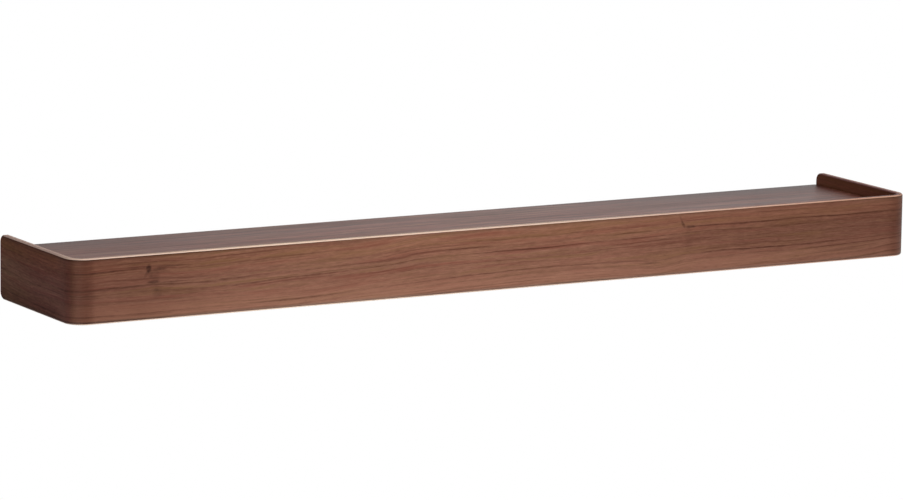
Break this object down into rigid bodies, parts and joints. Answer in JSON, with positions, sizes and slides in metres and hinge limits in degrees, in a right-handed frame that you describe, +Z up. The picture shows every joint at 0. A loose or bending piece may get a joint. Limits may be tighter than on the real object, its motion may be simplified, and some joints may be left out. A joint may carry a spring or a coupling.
{
  "type": "wall shelf",
  "caption": "Long wall-hung ledge shelf: a bent-plywood rim in walnut veneer round a recessed deck board, hung on a bevelled split wall rail.",
  "frame": {"origin": "middle of the wall rail's back face, on the wall plane", "axes": "+X along the shelf to the right, +Y into the wall, +Z up; the shelf's front faces -Y"},
  "size_m": [1.2, 0.21, 0.08],
  "materials": {
    "walnut_veneer": "satin",
    "beech": "planed, unfinished",
    "birch_plywood": "sanded, unfinished",
    "zinc_steel": "zinc plated"
  },
  "bodies": {
    "wall_side": {"wall_rail": "beech"},
    "shelf": {"rim_band": "walnut_veneer", "deck_panel": "walnut_veneer", "hanging_rail": "beech", "front_batten": "beech", "side_batten_left": "beech", "side_batten_right": "beech", "corner_block_left": "beech", "corner_block_right": "beech", "rib_left": "birch_plywood", "rib_centre": "birch_plywood", "rib_right": "birch_plywood", "rail_dowel_1": "beech", "rail_dowel_2": "beech", "rail_dowel_3": "beech", "rail_dowel_4": "beech", "rail_dowel_5": "beech", "rail_dowel_6": "beech", "rail_dowel_7": "beech", "rail_dowel_8": "beech", "rib_dowel_1": "beech", "rib_dowel_2": "beech", "rib_dowel_3": "beech", "rib_dowel_4": "beech", "rib_dowel_5": "beech", "rib_dowel_6": "beech", "batten_screw_1": "zinc_steel", "batten_screw_2": "zinc_steel", "batten_screw_3": "zinc_steel", "batten_screw_4": "zinc_steel", "batten_screw_5": "zinc_steel", "batten_screw_6": "zinc_steel", "batten_screw_7": "zinc_steel", "batten_screw_8": "zinc_steel", "batten_screw_9": "zinc_steel", "batten_screw_10": "zinc_steel", "batten_screw_11": "zinc_steel", "batten_screw_12": "zinc_steel", "rail_screw_1": "zinc_steel", "rail_screw_2": "zinc_steel", "rail_screw_3": "zinc_steel", "rail_screw_4": "zinc_steel", "rail_screw_5": "zinc_steel"}
  },
  "joints": [
    {"name": "lift_off", "type": "slide", "parent": "wall_side", "child": "shelf", "axis": [0, 0, 1], "range_m": [0, 0.016]}
  ]
}
